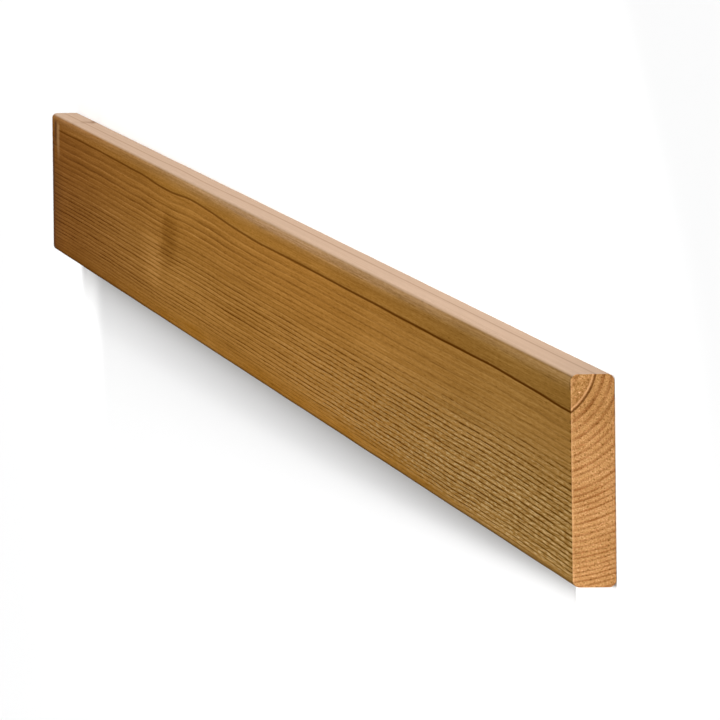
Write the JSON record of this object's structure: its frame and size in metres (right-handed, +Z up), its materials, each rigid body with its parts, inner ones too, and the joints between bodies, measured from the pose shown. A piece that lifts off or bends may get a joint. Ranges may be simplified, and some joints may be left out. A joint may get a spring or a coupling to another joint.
{
  "type": "timber lumber plank",
  "caption": "Planed softwood board, long and slim, with rounded long arrises, square sawn ends and close growth rings along its faces.",
  "frame": {"origin": "middle of the lower wide face, on the surface that the plank lies on", "axes": "+X along the length and the grain, +Y across the width, +Z up through the thickness"},
  "size_m": [4, 0.092, 0.019],
  "materials": {
    "timber": "planed, unsealed"
  },
  "bodies": {
    "root": {"plank": "timber"}
  },
  "joints": []
}
